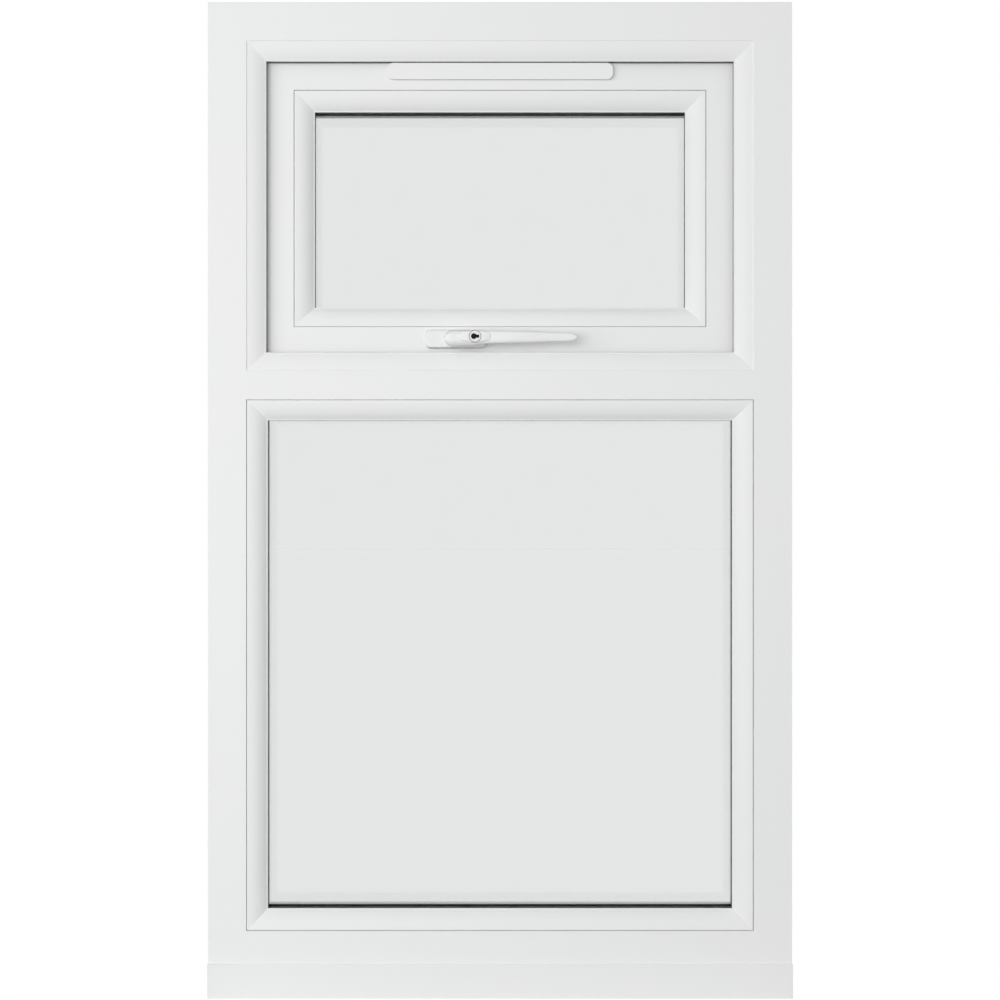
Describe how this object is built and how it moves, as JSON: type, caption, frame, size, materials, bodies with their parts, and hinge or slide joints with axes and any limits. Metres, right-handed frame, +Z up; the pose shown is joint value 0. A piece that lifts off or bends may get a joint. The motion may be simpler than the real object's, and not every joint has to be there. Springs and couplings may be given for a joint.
{
  "type": "top-hung window",
  "caption": "White plastic window: a top-hung sash over a fixed light in one frame on a sill. A lever handle unlocks the sash, which swings out on friction stays.",
  "frame": {"origin": "underside of the sill, at mid-width and at the mid-depth of the outer frame", "axes": "+Z up, +Y to the outside, +X right seen from the room"},
  "size_m": [0.611, 0.165, 1.04],
  "materials": {
    "profile_white": "smooth satin white extrusion",
    "handle_white": "white powder coat, satin",
    "vent_white": "satin moulded white",
    "gasket_black": "matt black",
    "packer_black": "matt",
    "glass": "clear float glass",
    "spacer_metal": "mill finish",
    "hardware_steel": "bright zinc",
    "steel_core": "galvanised",
    "key_metal": "polished"
  },
  "bodies": {
    "frame": {"sill": "profile_white", "sill_end_caps": "profile_white", "frame_head": "profile_white", "frame_jamb_left": "profile_white", "frame_jamb_right": "profile_white", "frame_bottom_rail": "profile_white", "transom": "profile_white", "frame_steels": "steel_core", "fixed_bead_left": "profile_white", "fixed_bead_right": "profile_white", "fixed_bead_bottom": "profile_white", "fixed_bead_top": "profile_white", "fixed_pane_inner": "glass", "fixed_pane_outer": "glass", "fixed_spacer_bar": "spacer_metal", "fixed_bead_gasket": "gasket_black", "fixed_outer_gasket": "gasket_black", "fixed_packers": "packer_black", "frame_weather_seal": "gasket_black", "keep_left": "hardware_steel", "keep_right": "hardware_steel", "stay_track_left": "hardware_steel", "stay_track_right": "hardware_steel", "frame_hardware_screws": "hardware_steel"},
    "short_arms": {"stay_short_arm_left": "hardware_steel", "stay_short_arm_right": "hardware_steel"},
    "long_arms": {"stay_long_arm_left": "hardware_steel", "stay_long_arm_right": "hardware_steel"},
    "sash": {"sash_stile_left": "profile_white", "sash_stile_right": "profile_white", "sash_bottom_rail": "profile_white", "sash_top_rail": "profile_white", "sash_bead_left": "profile_white", "sash_bead_right": "profile_white", "sash_bead_bottom": "profile_white", "sash_bead_top": "profile_white", "sash_pane_inner": "glass", "sash_pane_outer": "glass", "sash_spacer_bar": "spacer_metal", "sash_bead_gasket": "gasket_black", "sash_outer_gasket": "gasket_black", "sash_packers": "packer_black", "sash_weather_seal": "gasket_black", "stay_sash_bar_left": "hardware_steel", "stay_sash_bar_right": "hardware_steel", "sash_hardware_screws": "hardware_steel", "lock_face_plate": "hardware_steel", "lock_gearbox": "hardware_steel", "handle_base": "handle_white", "handle_cover": "handle_white", "handle_screws": "hardware_steel", "vent_frame": "vent_white", "vent_hood": "vent_white"},
    "handle": {"handle_lever": "handle_white", "handle_spindle": "hardware_steel", "lock_pinion": "hardware_steel"},
    "key": {"key_cylinder": "key_metal"},
    "drive_bar": {"lock_drive_bar": "hardware_steel", "lock_cams": "hardware_steel"},
    "vent_flap": {"vent_flap": "vent_white"}
  },
  "joints": [
    {"name": "short_arm_swing", "type": "hinge", "parent": "frame", "child": "short_arms", "pos_m": [0, 0.009, 0.936], "axis": [-1, 0, 0], "range_deg": [0, 57.3]},
    {"name": "long_arm_swing", "type": "hinge", "parent": "frame", "child": "long_arms", "pos_m": [0, 0.001, 0.771], "axis": [-1, 0, 0], "range_deg": [0, 21.12]},
    {"name": "sash_open", "type": "hinge", "parent": "short_arms", "child": "sash", "pos_m": [0, 0.005, 0.97], "axis": [1, 0, 0], "range_deg": [0, 85.3]},
    {"name": "handle_turn", "type": "hinge", "parent": "sash", "child": "handle", "pos_m": [-0.0468, 0.002, 0.6893], "axis": [0, -1, 0], "range_deg": [0, 90]},
    {"name": "key_turn", "type": "hinge", "parent": "handle", "child": "key", "pos_m": [-0.0258, -0.052, 0.6893], "axis": [0, -1, 0], "range_deg": [0, 90]},
    {"name": "lock_slide", "type": "slide", "parent": "sash", "child": "drive_bar", "axis": [1, 0, 0], "range_m": [0, 0.01729]},
    {"name": "vent_tilt", "type": "hinge", "parent": "sash", "child": "vent_flap", "pos_m": [0, -0.0196, 0.9647], "axis": [1, 0, 0], "range_deg": [0, 25]}
  ],
  "couplings": [
    {"joint": "short_arm_swing", "follows": "sash_open", "ratio": 0.67173},
    {"joint": "long_arm_swing", "follows": "sash_open", "ratio": 0.24748},
    {"joint": "lock_slide", "follows": "handle_turn", "m_per_rad": 0.011}
  ]
}
